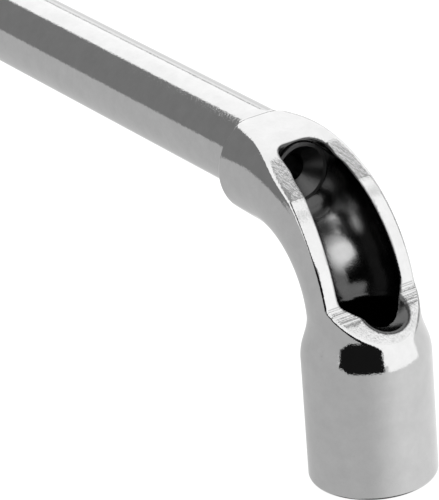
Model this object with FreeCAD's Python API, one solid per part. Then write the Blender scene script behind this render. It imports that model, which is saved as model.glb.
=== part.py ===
import FreeCAD, Part
import math
import os

# Lug wrench: an elbow socket with a window milled through the outside of its bend, a round shank, and a
# straight socket on the shank's far end. Millimetres. The origin is the centre of the bent socket's mouth,
# +Z runs up that socket's axis, and the shank lies along +X.

# Sockets
NUT_SIZE = 19.0
HEX_CLEARANCE = 0.25
HEX_DEPTH = 17.0
DRILL_RADIUS = 9.4
DRILL_DEPTH = 19.5
STUD_BORE_RADIUS = 7.1
LEAD_IN_RADIUS = 11.5
BARREL_RADIUS = 13.5
BARREL_LENGTH = 29.0
MOUTH_ROUND = 1.0
SHOULDER_ROUND = 0.7

# Elbow
TUBE_RADIUS = 11.6
BEND_RADIUS = 25.0
BEND_START_Z = 34.9
COLLAR_END_CENTRE = (33.6, 0.9, 60.0)
COLLAR_END_RADIUS = 10.9
COLLAR_ROUND = 1.4
NECK_START_Z = 34.8

# Cavity inside the bend: a bent tube between two bend angles, with a round end beyond each
CAVITY_RADIUS = 8.5
CAVITY_LOW_ANGLE = 18.0
CAVITY_HIGH_ANGLE = 66.0

# Window: the cutter's path in the XZ plane, from its low end to where it leaves the top of the elbow
RAMP_LOW = (-15.6, 30.5)
LAND_LOW = (-2.8, 41.1)
LAND_MIDDLE = (1.6, 52.5)
LAND_HIGH = (9.0, 61.2)
LAND_SLOPE = 31.2
FLAT_START_X = 17.7
FLAT_ROUND = 18.5
FLAT_SLOPE = 4.9
FLAT_END_X = 60.0
SLOT_START_X = 13.5
SLOT_SIDES_Y = (-5.4, 5.6)
SLOT_END_X = 20.5
SLOT_CORNER_RADII = (4.3, 2.5)
SLOT_FLOOR_Z = 60.0
DISH_RADIUS = 8.0
DISH_CENTRE = (-9.4, -1.1, 43.4)

# Shank
SHANK_RADIUS = 9.0
SHANK_AXIS_Z = 61.0
SPIGOT_RADIUS = 6.5
SPIGOT_FACE_X = 19.9
CENTRE_CONE_RADIUS = 5.7
CENTRE_HOLE_RADIUS = 3.05
CENTRE_CONE_DEPTH = 3.4
CENTRE_HOLE_DEPTH = 14.0

# Straight socket
OVERALL_MAX_X = 236.5
STRAIGHT_BARREL_LENGTH = 30.0
STRAIGHT_NECK_RADIUS = 11.3
STRAIGHT_SHOULDER_LENGTH = 6.0
STRAIGHT_NECK_LENGTH = 9.0
STRAIGHT_SPIGOT_LENGTH = 12.0

# Welds
WELD_LEG = 0.5
WELD_WIDTH = 1.2
WELD_INSET = 0.35

DRILL_POINT_ANGLE = 118.0
ALONG_X = FreeCAD.Vector(1, 0, 0)
ALONG_Y = FreeCAD.Vector(0, 1, 0)
ALONG_Z = FreeCAD.Vector(0, 0, 1)
FAR = 60.0

HEX_FLATS = NUT_SIZE + HEX_CLEARANCE
TUBE_AXIS_Z = BEND_START_Z + BEND_RADIUS
BEND_CENTRE = FreeCAD.Vector(BEND_RADIUS, 0, BEND_START_Z)
COLLAR_END = FreeCAD.Vector(*COLLAR_END_CENTRE)
STRAIGHT_LENGTH = STRAIGHT_BARREL_LENGTH + STRAIGHT_SHOULDER_LENGTH + STRAIGHT_NECK_LENGTH
STRAIGHT_SEAT = FreeCAD.Vector(OVERALL_MAX_X - STRAIGHT_LENGTH, 0, SHANK_AXIS_Z)


def drill_point_length(radius):
    return radius / math.tan(math.radians(DRILL_POINT_ANGLE / 2))


def turned(points, centre, axis):
    """Solid of revolution of a closed outline of (radius, height) points about an axis through centre.

    A point written as a triple (radius, height, "arc") is the middle of an arc between its two neighbours.
    """
    at = [FreeCAD.Vector(p[0], 0, p[1]) for p in points]
    edges = []
    index = 0
    while index < len(at):
        after = (index + 1) % len(at)
        if len(points[after]) == 3:
            end = (after + 1) % len(at)
            edges.append(Part.Arc(at[index], at[after], at[end]).toShape())
            index += 2
        else:
            edges.append(Part.LineSegment(at[index], at[after]).toShape())
            index += 1
    solid = Part.Face(Part.Wire(edges)).revolve(FreeCAD.Vector(), ALONG_Z, 360)
    solid.Placement = FreeCAD.Placement(centre, FreeCAD.Rotation(ALONG_Z, axis))
    return solid


def round_point(centre_radius, centre_height, radius, angle):
    """The point of an outline at an angle round a rounding's centre."""
    turn = math.radians(angle)
    return (centre_radius + radius * math.cos(turn), centre_height + radius * math.sin(turn))


def arc_middle(centre_radius, centre_height, radius, angle):
    """The same point, marked as the middle of the arc between its neighbours."""
    return round_point(centre_radius, centre_height, radius, angle) + ("arc",)


def hex_prism(flats, length, centre, axis):
    corner = flats / 2 / math.cos(math.radians(30))
    turns = [math.radians(30 + 60 * n) for n in range(6)]
    points = [FreeCAD.Vector(corner * math.cos(t), corner * math.sin(t), 0) for t in turns]
    face = Part.Face(Part.makePolygon(points + points[:1]))
    prism = face.extrude(ALONG_Z * length)
    prism.Placement = FreeCAD.Placement(centre, FreeCAD.Rotation(ALONG_Z, axis))
    return prism


def socket_hollow(mouth, inward, bore_end):
    """Everything cut from a barrel at its mouth: lead-in cone, hexagon, drilled hole and stud bore."""
    lead_in = Part.makeCone(LEAD_IN_RADIUS, HEX_FLATS / 2, LEAD_IN_RADIUS - HEX_FLATS / 2, mouth, inward)
    hexagon = hex_prism(HEX_FLATS, HEX_DEPTH, mouth, inward)
    drilled = Part.makeCylinder(DRILL_RADIUS, DRILL_DEPTH, mouth, inward)
    point_length = drill_point_length(DRILL_RADIUS)
    point = Part.makeCone(DRILL_RADIUS, 0, point_length, mouth + inward * DRILL_DEPTH, inward)
    stud_bore = Part.makeCylinder(STUD_BORE_RADIUS, bore_end, mouth, inward)
    return lead_in.multiFuse([hexagon, drilled, point, stud_bore])


def bend_point(angle):
    """Centre of the tube at a bend angle, and the tube's direction there, towards the shank."""
    turn = math.radians(angle)
    to_tube = FreeCAD.Vector(-math.cos(turn), 0, math.sin(turn))
    direction = FreeCAD.Vector(math.sin(turn), 0, math.cos(turn))
    return BEND_CENTRE + to_tube * BEND_RADIUS, direction


def bend(radius, start_angle, end_angle):
    """A round section turned from one bend angle to another."""
    centre, direction = bend_point(start_angle)
    face = Part.Face(Part.Wire(Part.makeCircle(radius, centre, direction)))
    return face.revolve(BEND_CENTRE, ALONG_Y, end_angle - start_angle)


def barrel_with_neck():
    slope = math.degrees(math.atan2(NECK_START_Z - BARREL_LENGTH, BARREL_RADIUS - TUBE_RADIUS))
    corner = BARREL_RADIUS - SHOULDER_ROUND
    outline = [
        (0, 0),
        (BARREL_RADIUS - MOUTH_ROUND, 0),
        arc_middle(BARREL_RADIUS - MOUTH_ROUND, MOUTH_ROUND, MOUTH_ROUND, -45),
        (BARREL_RADIUS, MOUTH_ROUND),
        (BARREL_RADIUS, BARREL_LENGTH - SHOULDER_ROUND),
        arc_middle(corner, BARREL_LENGTH - SHOULDER_ROUND, SHOULDER_ROUND, (90 - slope) / 2),
        round_point(corner, BARREL_LENGTH - SHOULDER_ROUND, SHOULDER_ROUND, 90 - slope),
        (TUBE_RADIUS, NECK_START_Z),
        (TUBE_RADIUS, BEND_START_Z),
        (0, BEND_START_Z),
    ]
    return turned(outline, FreeCAD.Vector(), ALONG_Z)


def collar():
    """The tube's end, which narrows and shifts until one side of it is almost flush with the shank."""
    start = FreeCAD.Vector(BEND_RADIUS, 0, TUBE_AXIS_Z)
    sections = []
    for share in (0, 0.5, 1):
        centre = start + (COLLAR_END - start) * share
        centre.y = COLLAR_END.y * share ** 2
        radius = TUBE_RADIUS + (COLLAR_END_RADIUS - TUBE_RADIUS) * share ** 2
        sections.append(Part.Wire(Part.makeCircle(radius, centre, ALONG_X)))
    tube_end = Part.makeLoft(sections, True)
    rim = [e for e in tube_end.Edges if all(abs(v.X - COLLAR_END.x) < 1e-6 for v in e.Vertexes)]
    return tube_end.makeFillet(COLLAR_ROUND, rim)


def slope_direction(slope):
    return FreeCAD.Vector(math.cos(math.radians(slope)), 0, math.sin(math.radians(slope)))


def window_cutter():
    """The space outside the cutter's path, right across the elbow and on over the shank's near end."""
    low = FreeCAD.Vector(RAMP_LOW[0], 0, RAMP_LOW[1])
    land_low = FreeCAD.Vector(LAND_LOW[0], 0, LAND_LOW[1])
    land_middle = FreeCAD.Vector(LAND_MIDDLE[0], 0, LAND_MIDDLE[1])
    land_high = FreeCAD.Vector(LAND_HIGH[0], 0, LAND_HIGH[1])
    rising = slope_direction(LAND_SLOPE)
    flat_start = land_high + rising * ((FLAT_START_X - land_high.x) / rising.x)
    round_centre = flat_start - slope_direction(LAND_SLOPE + 90) * FLAT_ROUND
    flat_middle = round_centre + slope_direction((LAND_SLOPE + FLAT_SLOPE) / 2 + 90) * FLAT_ROUND
    flat_low = round_centre + slope_direction(FLAT_SLOPE + 90) * FLAT_ROUND
    level = slope_direction(FLAT_SLOPE)
    leave = flat_low + level * ((FLAT_END_X - flat_low.x) / level.x)
    high = FreeCAD.Vector(leave.x, 0, leave.z + FAR)
    outside = FreeCAD.Vector(RAMP_LOW[0] - FAR, 0, high.z)
    outside_low = FreeCAD.Vector(RAMP_LOW[0] - FAR, 0, RAMP_LOW[1])
    edges = [
        Part.LineSegment(low, land_low).toShape(),
        Part.Arc(land_low, land_middle, land_high).toShape(),
        Part.LineSegment(land_high, flat_start).toShape(),
        Part.Arc(flat_start, flat_middle, flat_low).toShape(),
        Part.LineSegment(flat_low, leave).toShape(),
        Part.LineSegment(leave, high).toShape(),
        Part.LineSegment(high, outside).toShape(),
        Part.LineSegment(outside, outside_low).toShape(),
        Part.LineSegment(outside_low, low).toShape(),
    ]
    face = Part.Face(Part.Wire(edges))
    face.translate(ALONG_Y * -FAR)
    return face.extrude(ALONG_Y * 2 * FAR)


def window_slot():
    """Upright slot with rounded end corners that lengthens the window's high end."""
    block = Part.makeBox(
        SLOT_END_X - SLOT_START_X,
        SLOT_SIDES_Y[1] - SLOT_SIDES_Y[0],
        FAR,
        FreeCAD.Vector(SLOT_START_X, SLOT_SIDES_Y[0], SLOT_FLOOR_Z))
    for side_y, radius in zip(SLOT_SIDES_Y, SLOT_CORNER_RADII):
        corner = FreeCAD.Vector(SLOT_END_X, side_y, SLOT_FLOOR_Z)
        block = block.makeFillet(radius, [e for e in block.Edges if is_upright_through(e, corner)])
    return block


def is_upright_through(edge, point):
    return all(abs(v.X - point.x) < 1e-6 and abs(v.Y - point.y) < 1e-6 for v in edge.Vertexes)


def cavity():
    low_end, high_end = [
        Part.makeSphere(CAVITY_RADIUS, bend_point(angle)[0]) for angle in (CAVITY_LOW_ANGLE, CAVITY_HIGH_ANGLE)
    ]
    return bend(CAVITY_RADIUS, CAVITY_LOW_ANGLE, CAVITY_HIGH_ANGLE).multiFuse([low_end, high_end])


def bent_head():
    body = barrel_with_neck().multiFuse([bend(TUBE_RADIUS, 0, 90), collar()])
    stud_bore_end = bend_point(CAVITY_LOW_ANGLE)[0].z
    spigot_bore_start = FreeCAD.Vector(bend_point(CAVITY_HIGH_ANGLE)[0].x, 0, SHANK_AXIS_Z)
    hollow = cavity().multiFuse([
        socket_hollow(FreeCAD.Vector(), ALONG_Z, stud_bore_end),
        Part.makeCylinder(SPIGOT_RADIUS, FAR, spigot_bore_start, ALONG_X),
        window_slot(),
        Part.makeSphere(DISH_RADIUS, FreeCAD.Vector(*DISH_CENTRE)),
    ])
    return body.cut(hollow).cut(window_cutter())


def shank():
    """The bar and its spigots. The flat ground on the elbow runs on a little way over the bar."""
    axis_start = FreeCAD.Vector(COLLAR_END.x, 0, SHANK_AXIS_Z)
    bar = Part.makeCylinder(SHANK_RADIUS, STRAIGHT_SEAT.x - COLLAR_END.x, axis_start, ALONG_X)
    spigot_start = FreeCAD.Vector(SPIGOT_FACE_X, 0, SHANK_AXIS_Z)
    spigot_length = STRAIGHT_SEAT.x + STRAIGHT_SPIGOT_LENGTH - SPIGOT_FACE_X
    spigots = Part.makeCylinder(SPIGOT_RADIUS, spigot_length, spigot_start, ALONG_X)
    cone = Part.makeCone(CENTRE_CONE_RADIUS, CENTRE_HOLE_RADIUS, CENTRE_CONE_DEPTH, spigot_start, ALONG_X)
    hole = Part.makeCylinder(CENTRE_HOLE_RADIUS, CENTRE_HOLE_DEPTH, spigot_start, ALONG_X)
    return bar.fuse(spigots).cut(cone.fuse(hole)).cut(window_cutter())


def straight_socket():
    shoulder_end = STRAIGHT_BARREL_LENGTH + STRAIGHT_SHOULDER_LENGTH
    outline = [
        (0, 0),
        (BARREL_RADIUS - MOUTH_ROUND, 0),
        arc_middle(BARREL_RADIUS - MOUTH_ROUND, MOUTH_ROUND, MOUTH_ROUND, -45),
        (BARREL_RADIUS, MOUTH_ROUND),
        (BARREL_RADIUS, STRAIGHT_BARREL_LENGTH),
        (STRAIGHT_NECK_RADIUS, shoulder_end),
        (STRAIGHT_NECK_RADIUS, STRAIGHT_LENGTH - COLLAR_ROUND),
        arc_middle(STRAIGHT_NECK_RADIUS - COLLAR_ROUND, STRAIGHT_LENGTH - COLLAR_ROUND, COLLAR_ROUND, 45),
        (STRAIGHT_NECK_RADIUS - COLLAR_ROUND, STRAIGHT_LENGTH),
        (0, STRAIGHT_LENGTH),
    ]
    mouth = FreeCAD.Vector(OVERALL_MAX_X, 0, SHANK_AXIS_Z)
    body = turned(outline, mouth, -ALONG_X)
    bore_end = STRAIGHT_LENGTH - STRAIGHT_SPIGOT_LENGTH
    spigot_bore = Part.makeCylinder(SPIGOT_RADIUS, STRAIGHT_SPIGOT_LENGTH, STRAIGHT_SEAT, ALONG_X)
    return body.cut(socket_hollow(mouth, -ALONG_X, bore_end)).cut(spigot_bore)


def weld(rim_centre, rim_radius, outward, neighbours):
    """Weld metal round the shank at a socket's end: it fills that end's rounded rim and slopes to the bar."""
    outline = [
        (SHANK_RADIUS, -COLLAR_ROUND),
        (SHANK_RADIUS + WELD_WIDTH, -COLLAR_ROUND),
        (SHANK_RADIUS + WELD_WIDTH, 0),
        (SHANK_RADIUS, WELD_LEG),
    ]
    ring = turned(outline, FreeCAD.Vector(rim_centre.x, 0, SHANK_AXIS_Z), outward)
    rim_start = rim_centre - outward * COLLAR_ROUND * 2
    inside_rim = Part.makeCylinder(rim_radius - WELD_INSET, COLLAR_ROUND * 4, rim_start, outward)
    return ring.common(inside_rim).cut(neighbours[0]).cut(neighbours[1]).cut(window_cutter())


def main():
    os.makedirs("parts", exist_ok=True)
    head = bent_head()
    bar = shank()
    straight = straight_socket()
    nodes = {
        "bent_head": head,
        "shank": bar,
        "straight_socket": straight,
        "head_weld": weld(COLLAR_END, COLLAR_END_RADIUS, ALONG_X, (head, bar)),
        "socket_weld": weld(STRAIGHT_SEAT, STRAIGHT_NECK_RADIUS, -ALONG_X, (straight, bar)),
    }
    for name, shape in nodes.items():
        shape.exportStep("parts/" + name + ".step")
        print(name, shape.isValid(), len(shape.Solids), round(shape.Volume), shape.BoundBox)


main()
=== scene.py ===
import math

import bpy
import numpy as np
import openvdb
from mathutils import Matrix, Vector


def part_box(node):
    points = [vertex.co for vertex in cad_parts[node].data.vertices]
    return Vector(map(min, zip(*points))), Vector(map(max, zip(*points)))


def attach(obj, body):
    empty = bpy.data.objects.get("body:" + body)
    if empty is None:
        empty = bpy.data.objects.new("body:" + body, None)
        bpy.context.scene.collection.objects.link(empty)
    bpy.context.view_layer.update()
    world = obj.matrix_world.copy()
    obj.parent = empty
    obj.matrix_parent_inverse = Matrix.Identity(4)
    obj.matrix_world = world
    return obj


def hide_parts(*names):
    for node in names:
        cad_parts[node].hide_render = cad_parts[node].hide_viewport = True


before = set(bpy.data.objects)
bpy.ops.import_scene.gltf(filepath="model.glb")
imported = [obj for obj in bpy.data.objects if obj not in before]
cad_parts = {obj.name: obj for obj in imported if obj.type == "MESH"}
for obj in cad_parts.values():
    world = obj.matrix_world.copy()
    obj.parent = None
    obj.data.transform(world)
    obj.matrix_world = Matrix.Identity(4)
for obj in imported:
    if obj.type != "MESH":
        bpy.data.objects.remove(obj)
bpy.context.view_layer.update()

# A chromed lug wrench: the elbow is a fine mesh made from the CAD solid's dimensions, with its edges rounded,
# and the other pieces keep their CAD meshes. The shape functions are in millimetres, and Blender in metres.

MM = 0.001

# Sockets
HEX_FLATS = 19.25
HEX_DEPTH = 17.0
DRILL_RADIUS = 9.4
DRILL_DEPTH = 19.5
DRILL_POINT_HALF_ANGLE = math.radians(59)
STUD_BORE_RADIUS = 7.1
LEAD_IN_RADIUS = 11.5
BARREL_RADIUS = 13.5
BARREL_LENGTH = 29.0
MOUTH_ROUND = 1.0
SHOULDER_ROUND = 0.5
NECK_START_Z = 34.8
NECK_BLEND = 0.7
NECK_CAP_Z = 44.0

# Elbow
TUBE_RADIUS = 11.6
BEND_RADIUS = 25.0
BEND_START_Z = 34.9
COLLAR_END = (33.6, 0.9, 60.0)
COLLAR_END_RADIUS = 10.9
COLLAR_ROUND = 1.4

# The collar's taper runs on to this share of its length, past the end face that cuts it off
TAPER_SHARE = 1.2

# Cavity, slot and spigot bore
CAVITY_RADIUS = 8.5
CAVITY_LOW_ANGLE = math.radians(18)
CAVITY_HIGH_ANGLE = math.radians(66)
SLOT_START_X = 13.5
SLOT_SIDES_Y = (-5.4, 5.6)
SLOT_END_X = 20.5
SLOT_CORNER_RADII = (4.3, 2.5)
SLOT_FLOOR_Z = 60.0
DISH_RADIUS = 8.0
DISH_CENTRE = (-9.4, -1.1, 43.4)
SHANK_AXIS_Z = 61.0
SPIGOT_RADIUS = 6.5

# Window, as points (x, z) on the cutter's path
RAMP_LOW = (-15.6, 30.5)
LAND_LOW = (-2.8, 41.1)
LAND_MIDDLE = (1.6, 52.5)
LAND_HIGH = (9.0, 61.2)
LAND_SLOPE = math.radians(31.2)
FLAT_START_X = 17.7
FLAT_ROUND = 18.5
FLAT_SLOPE = math.radians(4.9)
STEP_ROUND = 0.15
EDGE_ROUND = 0.3
HOLLOW_ROUND = 0.4

# The rim's rounding fades to this share of itself over the last stretch before the collar's end
RIM_ROUND = 0.5
RIM_FADE = 2.0
SHARPEST = 0.02

# How near the collar's end and the flat a point is to keep the flat's normal
FLUSH_REACH = 0.4

# Chatter left by the cutter near the top of the ramp
CHATTER_DEPTH = 0.11
CHATTER_PITCH = 0.95
CHATTER_LENGTH = 5.0

# How far, how fast and from what phase the chatter's pitch wanders
CHATTER_WANDERS = ((0.35, 1.7, 0.0), (0.22, 4.1, 1.0))

# The elbow's mesh: a grid of distances, then steps that draw each point onto the true surface
GRID_STEP = 0.25
GRID_MARGIN = 1.0
HEAD_REACH = ((-14.5, -14.5, -1.0), (34.6, 14.5, 72.5))

# Adaptive meshing joins quads where the surface bends less than this share
MESH_MERGING = 0.0008
DRAWING_STEPS = 3
LEAST_SLOPE_SQUARED = 0.25
SLOPE_STEP = 0.02

# How far from the cavity and from the cutter's path each finish reaches, the cavity's with its painted shade
INSIDE_REACH = 0.25
MILLED_REACH = 0.2

# Camera: on the window's side, and a little above
CAMERA_AIM = Vector((0.022143, 0.019478, 0.048892))
CAMERA_AZIMUTH = math.radians(238.35)
CAMERA_ELEVATION = math.radians(24.55)
CAMERA_ROLL = math.radians(-4.516)
CAMERA_DISTANCE = 0.79741
CAMERA_LENS = 281.71
NEAREST_SHARE = 0.01
FARTHEST = 12.0

# Floor: a plain pale plane that the chrome doesn't reflect
FLOOR_SIZE = 6.0
FLOOR_SHADE = (0.25, 0.25, 0.25, 1)
FLOOR_GLOW = 0.9


def hypot(a, b):
    return np.sqrt(a * a + b * b)


def rounded_cut(a, b, radius):
    """Distance to what two solids share, with the edge between them rounded."""
    corner = hypot(np.maximum(a + radius, 0), np.maximum(b + radius, 0))
    return np.minimum(-radius, np.maximum(a, b)) + corner


def filleted_join(a, b, radius):
    """Distance to two solids together, with a fillet in the corner between them."""
    corner = hypot(np.maximum(radius - a, 0), np.maximum(radius - b, 0))
    return np.maximum(radius, np.minimum(a, b)) - corner


def joined_hollows(a, b, radius):
    """Distance to two hollows together, with the sharp edge left between them rounded."""
    return -rounded_cut(-a, -b, radius)


def blended_join(a, b, width):
    """Distance to two solids together, with a soft hollow where they cross."""
    share = np.maximum(width - np.abs(a - b), 0) / width
    return np.minimum(a, b) - share ** 2 * width / 4


def circle_through(a, b, c):
    """Centre and radius of the circle through three points."""
    rows = np.array([[p[0] - a[0], p[1] - a[1]] for p in (b, c)])
    sides = np.array([p[0] ** 2 - a[0] ** 2 + p[1] ** 2 - a[1] ** 2 for p in (b, c)])
    centre = np.linalg.solve(rows, sides / 2)
    return centre, math.hypot(a[0] - centre[0], a[1] - centre[1])


def barrel(x, y, z):
    """The socket's round wall, its shoulder and the cone above it."""
    radius = hypot(x, y)
    wall = rounded_cut(radius - BARREL_RADIUS, -z, MOUTH_ROUND)
    slope = math.atan2(BARREL_RADIUS - TUBE_RADIUS, NECK_START_Z - BARREL_LENGTH)
    shoulder = (radius - BARREL_RADIUS) * math.cos(slope) + (z - BARREL_LENGTH) * math.sin(slope)
    return np.maximum(rounded_cut(wall, shoulder, SHOULDER_ROUND), z - NECK_CAP_Z)


def tube(x, y, z):
    """The elbow's round tube: upright, then bent, then level with its end shifted towards the shank."""
    upright = hypot(x, y) - TUBE_RADIUS
    bent = hypot(hypot(x - BEND_RADIUS, z - BEND_START_Z) - BEND_RADIUS, y) - TUBE_RADIUS
    share = np.clip((x - BEND_RADIUS) / (COLLAR_END[0] - BEND_RADIUS), 0, TAPER_SHARE)
    axis_z = BEND_START_Z + BEND_RADIUS
    side = y - COLLAR_END[1] * share ** 2
    height = z - axis_z - (COLLAR_END[2] - axis_z) * share
    level = hypot(side, height) - TUBE_RADIUS - (COLLAR_END_RADIUS - TUBE_RADIUS) * share ** 2
    shape = np.where(x > BEND_RADIUS, level, np.where(z < BEND_START_Z, upright, bent))
    return rounded_cut(shape, x - COLLAR_END[0], COLLAR_ROUND)


def ramp(x, z):
    """Height above the ramp, with the cutter's chatter near its top."""
    run, rise = LAND_LOW[0] - RAMP_LOW[0], LAND_LOW[1] - RAMP_LOW[1]
    length = math.hypot(run, rise)
    along = ((x - LAND_LOW[0]) * run + (z - LAND_LOW[1]) * rise) / length
    off = ((z - RAMP_LOW[1]) * run - (x - RAMP_LOW[0]) * rise) / length
    wander = sum(far * np.sin(along * fast + phase) for far, fast, phase in CHATTER_WANDERS)
    ridges = np.abs(np.sin((along + wander) * math.pi / CHATTER_PITCH))
    fade = np.clip(1 + along / CHATTER_LENGTH, 0, 1) * (along < 0)
    return off + CHATTER_DEPTH * fade * ridges


def slope_side(x, z, start, slope):
    """Height above a sloping line through start, square to it, and the distance past start along it."""
    rise, run = math.sin(slope), math.cos(slope)
    off = (z - start[1]) * run - (x - start[0]) * rise
    along = (x - start[0]) * run + (z - start[1]) * rise
    return off, along


def land(x, z):
    """The cutter's path over the window's sides: an arc, a slope, a second arc and the flat on top."""
    centre, radius = circle_through(LAND_LOW, LAND_MIDDLE, LAND_HIGH)
    low_slope = math.atan2(centre[0] - LAND_LOW[0], LAND_LOW[1] - centre[1])
    low_plane, past_low = slope_side(x, z, LAND_LOW, low_slope)
    arc = hypot(x - centre[0], z - centre[1]) - radius
    slope, past_high = slope_side(x, z, LAND_HIGH, LAND_SLOPE)
    flat_start = (FLAT_START_X, LAND_HIGH[1] + (FLAT_START_X - LAND_HIGH[0]) * math.tan(LAND_SLOPE))
    round_x = flat_start[0] + FLAT_ROUND * math.sin(LAND_SLOPE)
    round_z = flat_start[1] - FLAT_ROUND * math.cos(LAND_SLOPE)
    flat_low = (round_x - FLAT_ROUND * math.sin(FLAT_SLOPE), round_z + FLAT_ROUND * math.cos(FLAT_SLOPE))
    past_start = slope_side(x, z, flat_start, LAND_SLOPE)[1]
    flat, past_flat = slope_side(x, z, flat_low, FLAT_SLOPE)
    turn = hypot(x - round_x, z - round_z) - FLAT_ROUND
    high = np.where(past_flat > 0, flat, np.where(past_start > 0, turn, slope))
    return np.where(past_high > 0, high, np.where(past_low < 0, low_plane, arc))


def window(x, z):
    """The ramp and the lands together. The ramp ends before the flat starts, where the lands go on alone."""
    sides = land(x, z)
    return np.where(x > FLAT_START_X, sides, filleted_join(ramp(x, z), sides, STEP_ROUND))


def cavity(x, y, z):
    """The bent hollow: a ball swept round the middle of the bend."""
    angle = np.arctan2(z - BEND_START_Z, BEND_RADIUS - x)
    angle = np.clip(angle, CAVITY_LOW_ANGLE, CAVITY_HIGH_ANGLE)
    near_x = BEND_RADIUS * (1 - np.cos(angle))
    near_z = BEND_START_Z + BEND_RADIUS * np.sin(angle)
    return np.sqrt((x - near_x) ** 2 + y ** 2 + (z - near_z) ** 2) - CAVITY_RADIUS


def socket_hollow(x, y, z):
    """The hexagon with its lead-in, the drilled relief above it and the stud bore."""
    radius = hypot(x, y)
    bore_end = BEND_START_Z + BEND_RADIUS * math.sin(CAVITY_LOW_ANGLE)
    point_end = DRILL_DEPTH + DRILL_RADIUS / math.tan(DRILL_POINT_HALF_ANGLE)
    point = radius * math.cos(DRILL_POINT_HALF_ANGLE) + (z - point_end) * math.sin(DRILL_POINT_HALF_ANGLE)
    drilled = np.maximum(radius - DRILL_RADIUS, point)
    turns = [math.radians(60 * n) for n in range(3)]
    flats = [np.abs(x * math.cos(t) + y * math.sin(t)) for t in turns]
    hexagon = np.maximum(np.maximum.reduce(flats) - HEX_FLATS / 2, z - HEX_DEPTH)
    lead_in = (radius + z - LEAD_IN_RADIUS) * math.sqrt(0.5)
    stud_bore = np.maximum(radius - STUD_BORE_RADIUS, z - bore_end)
    return np.minimum.reduce([drilled, hexagon, lead_in, stud_bore])


def slot(x, y, z):
    """The window's narrow end, round at its corners."""
    low_side = rounded_cut(x - SLOT_END_X, SLOT_SIDES_Y[0] - y, SLOT_CORNER_RADII[0])
    high_side = rounded_cut(x - SLOT_END_X, y - SLOT_SIDES_Y[1], SLOT_CORNER_RADII[1])
    return np.maximum.reduce([low_side, high_side, SLOT_START_X - x, SLOT_FLOOR_Z - z])


def hollow(x, y, z):
    """All that is open inside the elbow."""
    dish = np.sqrt(sum((v - c) ** 2 for v, c in zip((x, y, z), DISH_CENTRE))) - DISH_RADIUS
    spigot_bore = np.maximum(hypot(y, z - SHANK_AXIS_Z) - SPIGOT_RADIUS, SLOT_START_X - x)
    low_end = np.minimum(socket_hollow(x, y, z), dish)
    high_end = joined_hollows(slot(x, y, z), spigot_bore, HOLLOW_ROUND)
    ends = np.minimum(low_end, high_end)
    return joined_hollows(cavity(x, y, z), ends, HOLLOW_ROUND)


def head(x, y, z):
    """Distance to the whole elbow, below 0 inside its steel."""
    outside = blended_join(barrel(x, y, z), tube(x, y, z), NECK_BLEND)
    rim_round = RIM_ROUND * np.clip((COLLAR_END[0] - x) / RIM_FADE, SHARPEST, 1)
    milled = rounded_cut(outside, window(x, z), rim_round)
    return rounded_cut(milled, -hollow(x, y, z), EDGE_ROUND)


def slope_at(shape, points):
    """The distance's slope at each point, by central differences."""
    parts = []
    for axis in range(3):
        shift = np.zeros(3)
        shift[axis] = SLOPE_STEP
        parts.append(shape(*(points + shift).T) - shape(*(points - shift).T))
    return np.stack(parts, 1) / (2 * SLOPE_STEP)


def skin(shape, reach, box):
    """Points, faces and normals of the surface where a distance is zero, kept inside a box."""
    axes = [np.arange(lo, hi, GRID_STEP) for lo, hi in zip(*reach)]
    field = shape(*np.meshgrid(*axes, indexing="ij")).astype(np.float32)
    grid = openvdb.FloatGrid(GRID_MARGIN)
    grid.copyFromArray(np.clip(field, -GRID_MARGIN, GRID_MARGIN))
    points, triangles, quads = grid.convertToPolygons(0.0, MESH_MERGING)
    points = points.astype(float) * GRID_STEP + np.array([a[0] for a in axes])
    for _ in range(DRAWING_STEPS):
        slope = slope_at(shape, points)
        steep = np.maximum((slope ** 2).sum(1), LEAST_SLOPE_SQUARED)
        points -= slope * (shape(*points.T) / steep)[:, None]
    points = np.clip(points, *(np.array(corner) / MM for corner in box))
    slope = slope_at(shape, points)
    faces = triangles.tolist() + quads.tolist()
    return points, faces, slope / np.linalg.norm(slope, axis=1)[:, None]


def near(distance, width):
    """1 within a width of a surface, fading to 0 at twice that width."""
    return np.clip(2 - np.abs(distance) / width, 0, 1)


def build_head():
    points, faces, normals = skin(head, HEAD_REACH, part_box("bent_head"))
    # The flat runs on over the bar, so its end keeps the flat's own normal
    x, y, z = points.T
    flush = (x > COLLAR_END[0] - FLUSH_REACH) & (np.abs(window(x, z)) < FLUSH_REACH)
    normals[flush] = (-math.sin(FLAT_SLOPE), 0, math.cos(FLAT_SLOPE))
    mesh = bpy.data.meshes.new("elbow")
    mesh.from_pydata((points * MM).tolist(), [], faces)
    mesh.validate()
    mesh.shade_smooth()
    mesh.normals_split_custom_set_from_vertices(normals.tolist())
    finish_and_shade_masks = {"inside": near(hollow(x, y, z), INSIDE_REACH), "milled": near(window(x, z), MILLED_REACH)}
    for name, value in finish_and_shade_masks.items():
        mesh.attributes.new(name, "FLOAT", "POINT").data.foreach_set("value", value.astype(np.float32))
    piece = bpy.data.objects.new("elbow", mesh)
    bpy.context.scene.collection.objects.link(piece)
    return piece


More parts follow.
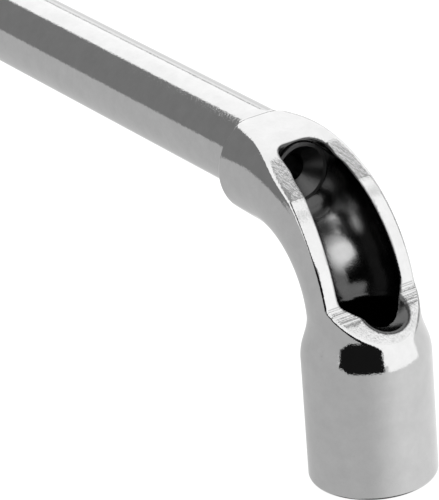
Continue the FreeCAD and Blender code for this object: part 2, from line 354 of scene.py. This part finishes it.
class Nodes:
    """Short names for the few kinds of node that the materials and the world use."""

    def __init__(self, tree):
        self.tree = tree

    def add(self, kind, inputs=(), **settings):
        node = self.tree.nodes.new(kind)
        for name, value in settings.items():
            setattr(node, name, value)
        for name, value in dict(inputs).items():
            socket = node.inputs[name]
            if isinstance(value, bpy.types.NodeSocket):
                self.tree.links.new(value, socket)
            else:
                socket.default_value = value
        return node

    def calc(self, kind, a, b=0.0, c=0.0):
        return self.add("ShaderNodeMath", {0: a, 1: b, 2: c}, operation=kind).outputs[0]

    def step(self, value, low, high):
        """0 below low, 1 above high, smooth between."""
        inputs = {"Value": value, "From Min": low, "From Max": high}
        return self.add("ShaderNodeMapRange", inputs, interpolation_type="SMOOTHSTEP").outputs[0]

    def scale(self, value, low, high):
        """A 0 to 1 value spread from low to high."""
        return self.add("ShaderNodeMapRange", {"Value": value, "To Min": low, "To Max": high}).outputs[0]

    def band(self, value, low, high, soft):
        """1 between low and high, 0 outside, with edges this soft."""
        rising = self.step(value, low - soft, low + soft)
        falling = self.step(value, high - soft, high + soft)
        return self.calc("MULTIPLY", rising, self.calc("SUBTRACT", 1.0, falling))

    def all_of(self, *masks):
        result = masks[0]
        for mask in masks[1:]:
            result = self.calc("MULTIPLY", result, mask)
        return result

    def over(self, under, mask, level):
        """The level where the mask is 1, and what is under it elsewhere."""
        return self.add("ShaderNodeMix", {"Factor": mask, "A": under, "B": level}, data_type="FLOAT").outputs[0]

    def noise(self, vector, scale, detail, roughness):
        inputs = {"Vector": vector, "Scale": scale, "Detail": detail, "Roughness": roughness}
        return self.add("ShaderNodeTexNoise", inputs, noise_dimensions="3D").outputs["Fac"]

    def stretched(self, vector, factors):
        return self.add("ShaderNodeMapping", {"Vector": vector, "Scale": factors}).outputs[0]

    def attribute(self, name):
        return self.add("ShaderNodeAttribute", attribute_name=name).outputs["Fac"]


# Studio: what each part of the surroundings gives off, where 1 is the white of the picture
FLOOR_LEVEL = 0.66
FLOOR_RIGHT_LEVEL = 1.02
WALL_LEVEL = 0.28
GAP_LEVEL = 0.45
SOFTBOX_LEVEL = 1.55
BACK_LIMB_LEVEL = 1.2
FLAG_LEVEL = 0.012
FLOOR_SHADE_LEVEL = 0.15

# Where each of them is, in degrees, set for the camera's view: a band's low end, high end and softness,
# or a step's two ends. Azimuths are as the camera's, and run on from AZIMUTH_JUMP, which lies behind the elbow.
# Arch is the angle from +X over the top to -X
AZIMUTH_JUMP = 70.0
GAP_ARCH = (60.0, 150.0, 4.0)
OVERHEAD_ARCH = (39.8, 88.8, 0.4)
FRONT_ARCH = (106.0, 108.0)
SEAM_ARCH = (119.5, 121.5, 0.7)
FLOOR_LIGHT_AZIMUTH = (262.0, 424.0, 38.0)
FLOOR_SHADE_ELEVATION = (-50.0, -65.0)
LOW_SIDE_AZIMUTH = (152.0, 198.0, 2.0)
LOW_SIDE_ELEVATION = (9.0, 7.0)
RIGHT_AZIMUTH = (272.0, 335.0, 3.0)
RIGHT_ELEVATION = (-11.0, 30.0, 2.0)
FLAG_AZIMUTH = (187.5, 265.5, 1.5)
FLAG_TOP = (25.5, 22.5)
SIDE_FLAG_AZIMUTH = (190.0, 213.0, 3.0)
SIDE_FLAG_ELEVATION = (10.0, 60.0, 1.5)

# Steps on the direction's own x, y and z
BEHIND_STEPS = ((0.2, 0.3), (0.0, -0.05), (0.2, 0.24))
LIMB_STEPS = ((0.2, 0.3), (-0.3, -0.34), (0.2, 0.17))
FRONT_STEP = (-0.85, -0.75)

# The elevation of the walls' and of the flag's lower edge, which changes over a range of azimuths
WALL_FOOT = {"From Min": 114.0, "From Max": 122.0, "To Min": -7.5, "To Max": 2.0}
WALL_FOOT_STEP = (1.2, -1.2)
FLAG_FOOT = {"From Min": 192.0, "From Max": 203.0, "To Min": -1.5, "To Max": -9.5}
FLAG_FOOT_STEP = (-1.0, 1.0)


def directions(n):
    """The direction's x, y and z, and its azimuth, elevation and arch in degrees."""
    direction = n.add("ShaderNodeTexCoord").outputs["Generated"]
    parts = n.add("ShaderNodeSeparateXYZ", {0: direction}).outputs
    x, y, z = parts["X"], parts["Y"], parts["Z"]
    to_degrees = math.degrees(1)
    elevation = n.calc("MULTIPLY", n.calc("ARCSINE", z), to_degrees)
    azimuth = n.calc("MULTIPLY", n.calc("ARCTAN2", n.calc("MULTIPLY", x, -1.0), y), to_degrees)
    azimuth = n.calc("WRAP", n.calc("ADD", azimuth, 180.0), AZIMUTH_JUMP + 360, AZIMUTH_JUMP)
    arch = n.calc("MULTIPLY", n.calc("ARCTAN2", z, x), to_degrees)
    return (x, y, z), azimuth, elevation, arch


def softboxes(n, axes, arch):
    """The walls, with the lights above, behind and in front of the wrench."""
    level = n.over(WALL_LEVEL, n.band(arch, *GAP_ARCH), GAP_LEVEL)
    level = n.over(level, n.band(arch, *OVERHEAD_ARCH), SOFTBOX_LEVEL)
    for steps, light in ((BEHIND_STEPS, SOFTBOX_LEVEL), (LIMB_STEPS, BACK_LIMB_LEVEL)):
        mask = n.all_of(*(n.step(axis, *ends) for axis, ends in zip(axes, steps)))
        level = n.over(level, mask, light)
    front = n.all_of(n.step(arch, *FRONT_ARCH), n.step(axes[1], *FRONT_STEP))
    level = n.over(level, front, SOFTBOX_LEVEL)
    return n.over(level, n.band(arch, *SEAM_ARCH), GAP_LEVEL)


def beside_edge(n, azimuth, elevation, foot, ends):
    """1 on one side of an edge whose elevation changes with the azimuth, 0 on the other."""
    edge = n.add("ShaderNodeMapRange", {"Value": azimuth, **foot}).outputs[0]
    return n.step(n.calc("SUBTRACT", elevation, edge), *ends)


def lower_half(n, level, azimuth, elevation):
    """The floor that the chrome reflects: lighter on the right, raised on the left and dark straight below."""
    floor_light = n.band(azimuth, *FLOOR_LIGHT_AZIMUTH)
    floor_level = n.over(FLOOR_LEVEL, floor_light, FLOOR_RIGHT_LEVEL)
    floor_level = n.over(floor_level, n.step(elevation, *FLOOR_SHADE_ELEVATION), FLOOR_SHADE_LEVEL)
    level = n.over(level, beside_edge(n, azimuth, elevation, WALL_FOOT, WALL_FOOT_STEP), floor_level)
    low_side = n.all_of(n.band(azimuth, *LOW_SIDE_AZIMUTH), n.step(elevation, *LOW_SIDE_ELEVATION))
    return n.over(level, low_side, FLOOR_LEVEL)


def side_light_and_flags(n, level, azimuth, elevation):
    """A softbox on the right, and two dark flags, one of them with its low left corner cut off at a slant."""
    right = n.all_of(n.band(azimuth, *RIGHT_AZIMUTH), n.band(elevation, *RIGHT_ELEVATION))
    level = n.over(level, right, SOFTBOX_LEVEL)
    above_foot = beside_edge(n, azimuth, elevation, FLAG_FOOT, FLAG_FOOT_STEP)
    flag = n.all_of(n.band(azimuth, *FLAG_AZIMUTH), above_foot, n.step(elevation, *FLAG_TOP))
    level = n.over(level, flag, FLAG_LEVEL)
    side_flag = n.all_of(n.band(azimuth, *SIDE_FLAG_AZIMUTH), n.band(elevation, *SIDE_FLAG_ELEVATION))
    return n.over(level, side_flag, FLAG_LEVEL)


def studio():
    """Surroundings by direction, which the chrome reflects: walls, softboxes, dark flags and a floor."""
    world = bpy.data.worlds.new("studio")
    bpy.context.scene.world = world
    world.use_nodes = True
    n = Nodes(world.node_tree)
    axes, azimuth, elevation, arch = directions(n)
    level = softboxes(n, axes, arch)
    level = lower_half(n, level, azimuth, elevation)
    level = side_light_and_flags(n, level, azimuth, elevation)
    background = world.node_tree.nodes["Background"]
    world.node_tree.links.new(level, background.inputs["Color"])


def floor():
    side = FLOOR_SIZE / 2
    mesh = bpy.data.meshes.new("floor")
    corners = [(-side, -side, 0), (side, -side, 0), (side, side, 0), (-side, side, 0)]
    mesh.from_pydata(corners, [], [(0, 1, 2, 3)])
    plane = bpy.data.objects.new("floor", mesh)
    bpy.context.scene.collection.objects.link(plane)
    material = bpy.data.materials.new("pale_floor")
    material.use_nodes = True
    shader = material.node_tree.nodes["Principled BSDF"]
    shader.inputs["Base Color"].default_value = FLOOR_SHADE
    shader.inputs["Roughness"].default_value = 1.0
    shader.inputs["Specular IOR Level"].default_value = 0.0
    shader.inputs["Emission Color"].default_value = (1, 1, 1, 1)
    shader.inputs["Emission Strength"].default_value = FLOOR_GLOW
    mesh.materials.append(material)
    plane.visible_glossy = False
    plane.visible_diffuse = False


def camera():
    data = bpy.data.cameras.new("camera")
    data.lens = CAMERA_LENS
    data.clip_start = CAMERA_DISTANCE * NEAREST_SHARE
    data.clip_end = FARTHEST
    seen = bpy.data.objects.new("camera", data)
    bpy.context.scene.collection.objects.link(seen)
    turn = Matrix.Rotation(CAMERA_AZIMUTH, 4, "Z")
    tilt = Matrix.Rotation(math.pi / 2 - CAMERA_ELEVATION, 4, "X")
    roll = Matrix.Rotation(CAMERA_ROLL, 4, "Z")
    back = Matrix.Translation((0, 0, CAMERA_DISTANCE))
    seen.matrix_world = Matrix.Translation(CAMERA_AIM) @ turn @ tilt @ roll @ back
    bpy.context.scene.camera = seen


# Noises, as scale, detail and roughness, and how high their bumps are in metres
MOTTLE = (260.0, 6.0, 0.65)
GRAIN = (1900.0, 2.0, 0.6)
STROKES = (900.0, 3.0, 0.6)
STROKES_STRETCH = (1.0, 3.0, 1.0)
FORGING = (1100.0, 4.0, 0.65)
ELBOW_GRAIN_HEIGHT = 1.4e-5
STROKES_HEIGHT = 4e-5
FORGING_HEIGHT = 3e-5
BAR_GRAIN_HEIGHT = 1.6e-5
SOCKET_GRAIN_HEIGHT = 3e-6
WELD_GRAIN_HEIGHT = 5e-6

# Darkest and lightest shade of each finish, and its least and most roughness, or the middle of its roughness,
# which HAZE_SPREAD multiplies. Inside the elbow the dark shades are painted shade, the lighter ones painted
# highlights
POLISH_SHADES = (0.50, 0.64)
HOLLOW_PAINTED_SHADES = (0.04, 0.1)
PAINTED_HIGHLIGHT_SHADES = (0.5, 0.7)
ELBOW_HAZE = (0.03, 0.07)
FORGED_HAZE = (0.12, 0.24)
BAR_HAZE = 0.05
SOCKET_HAZE = 0.05
WELD_HAZE = 0.06
HAZE_SPREAD = (0.6, 1.4)

# The spigot's painted shade and its dull finish from machining end just inside the collar, over this stretch
# back from its end
SPIGOT_PAINTED_SHADE = (0.09, 0.09, 0.09, 1)
MACHINED_HAZE = 0.3
SPIGOT_SHADE_AND_HAZE_END = (0.0012, 0.0008)


def chrome(name, haze, grain_height):
    """Polished chrome plating: faint haze, and fine grain that frays the edges of what it reflects."""
    material = bpy.data.materials.new(name)
    material.use_nodes = True
    tree = material.node_tree
    n = Nodes(tree)
    place = n.add("ShaderNodeTexCoord").outputs["Object"]
    mottle = n.noise(place, *MOTTLE)
    grain = n.noise(place, *GRAIN)
    shader = tree.nodes["Principled BSDF"]
    shader.inputs["Metallic"].default_value = 1.0
    shade = n.scale(mottle, *POLISH_SHADES)
    colour = n.add("ShaderNodeCombineColor", {0: shade, 1: shade, 2: shade}).outputs[0]
    tree.links.new(colour, shader.inputs["Base Color"])
    tree.links.new(n.scale(mottle, *(haze * share for share in HAZE_SPREAD)), shader.inputs["Roughness"])
    bump = n.add("ShaderNodeBump", {"Height": grain, "Strength": 1.0, "Distance": grain_height})
    tree.links.new(bump.outputs[0], shader.inputs["Normal"])
    return material


# Painted highlights on the elbow's painted shade inside: centre, reach and strength, set for the camera's view
PAINTED_HIGHLIGHT_PLACES = (
    ((0.0112, -0.0034, 0.0450), 0.0032, 0.66),
    ((0.0138, -0.0074, 0.0510), 0.0036, 1.0),
    ((0.0130, 0.0070, 0.0560), 0.0040, 1.0),
    ((-0.0075, -0.0030, 0.0365), 0.0070, 0.04),
)

# How soft and how ragged their edges are
HIGHLIGHT_EDGE = 0.0022
HIGHLIGHT_FRAY = 0.0008


def painted_highlights(n, place, mottle):
    """How much painted highlight there is, with edges broken up by the mottle."""
    result = 0.0
    for centre, reach, strength in PAINTED_HIGHLIGHT_PLACES:
        away = n.add("ShaderNodeVectorMath", {0: place, 1: centre}, operation="DISTANCE").outputs["Value"]
        away = n.calc("ADD", away, n.scale(mottle, -HIGHLIGHT_FRAY, HIGHLIGHT_FRAY))
        spot = n.calc("MULTIPLY", n.step(away, reach + HIGHLIGHT_EDGE, reach - HIGHLIGHT_EDGE), strength)
        result = n.calc("MAXIMUM", result, spot)
    return result


def elbow_chrome():
    """Chrome over three surfaces: polished outside, milled round the window, rough inside, darkened by painted
    shade with a few painted highlights.
    """
    material = bpy.data.materials.new("elbow_chrome")
    material.use_nodes = True
    tree = material.node_tree
    n = Nodes(tree)
    inside, milled = n.attribute("inside"), n.attribute("milled")
    place = n.add("ShaderNodeTexCoord").outputs["Object"]
    mottle = n.noise(place, *MOTTLE)
    fine = n.calc("MULTIPLY", n.noise(place, *GRAIN), ELBOW_GRAIN_HEIGHT)
    strokes = n.calc("MULTIPLY", n.noise(n.stretched(place, STROKES_STRETCH), *STROKES), STROKES_HEIGHT)
    forging = n.calc("MULTIPLY", n.noise(place, *FORGING), FORGING_HEIGHT)
    height = n.over(n.over(fine, milled, strokes), inside, forging)
    highlight = painted_highlights(n, place, mottle)
    # Painted highlights lift the painted shade back to a chrome tone at a few places
    hollow_shade = n.over(n.scale(mottle, *HOLLOW_PAINTED_SHADES), highlight, n.scale(mottle, *PAINTED_HIGHLIGHT_SHADES))
    # Inside the elbow the colour is painted shade and painted highlights; outside it is the polish's own tone
    shade = n.over(n.scale(mottle, *POLISH_SHADES), inside, hollow_shade)
    colour = n.add("ShaderNodeCombineColor", {0: shade, 1: shade, 2: shade}).outputs[0]
    haze = n.over(n.scale(mottle, *ELBOW_HAZE), inside, n.scale(mottle, *FORGED_HAZE))
    shader = tree.nodes["Principled BSDF"]
    shader.inputs["Metallic"].default_value = 1.0
    tree.links.new(colour, shader.inputs["Base Color"])
    tree.links.new(haze, shader.inputs["Roughness"])
    bump = n.add("ShaderNodeBump", {"Height": height, "Strength": 1.0, "Distance": 1.0})
    tree.links.new(bump.outputs[0], shader.inputs["Normal"])
    return material


def shank_chrome():
    """The bar's polish, over the spigot inside the elbow, which has painted shade and a rough finish from
    machining.
    """
    material = chrome("shank_polish", BAR_HAZE, BAR_GRAIN_HEIGHT)
    tree = material.node_tree
    n = Nodes(tree)
    shader = tree.nodes["Principled BSDF"]
    along = n.add("ShaderNodeSeparateXYZ", {0: n.add("ShaderNodeTexCoord").outputs["Object"]}).outputs["X"]
    bar = n.step(along, *(COLLAR_END[0] * MM - back for back in SPIGOT_SHADE_AND_HAZE_END))
    polish = shader.inputs["Base Color"].links[0].from_socket
    # Painted shade on the spigot's end inside the elbow, in place of the polish
    spigot_shade = n.add("ShaderNodeMix", {"Factor": bar}, data_type="RGBA")
    spigot_shade.inputs["A"].default_value = SPIGOT_PAINTED_SHADE
    tree.links.new(polish, spigot_shade.inputs["B"])
    haze = n.over(MACHINED_HAZE, bar, shader.inputs["Roughness"].links[0].from_socket)
    tree.links.new(spigot_shade.outputs["Result"], shader.inputs["Base Color"])
    tree.links.new(haze, shader.inputs["Roughness"])
    return material


def dress(node, material):
    """Give a CAD node's every slot one material."""
    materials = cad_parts[node].data.materials
    for index in range(len(materials)):
        materials[index] = material


def main():
    bpy.context.scene.view_settings.view_transform = "Standard"
    studio()
    floor()
    camera()
    elbow = build_head()
    elbow.data.materials.append(elbow_chrome())
    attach(elbow, "root")
    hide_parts("bent_head")
    dress("shank", shank_chrome())
    dress("straight_socket", chrome("socket_polish", SOCKET_HAZE, SOCKET_GRAIN_HEIGHT))
    weld = chrome("weld_polish", WELD_HAZE, WELD_GRAIN_HEIGHT)
    dress("head_weld", weld)
    dress("socket_weld", weld)


main()
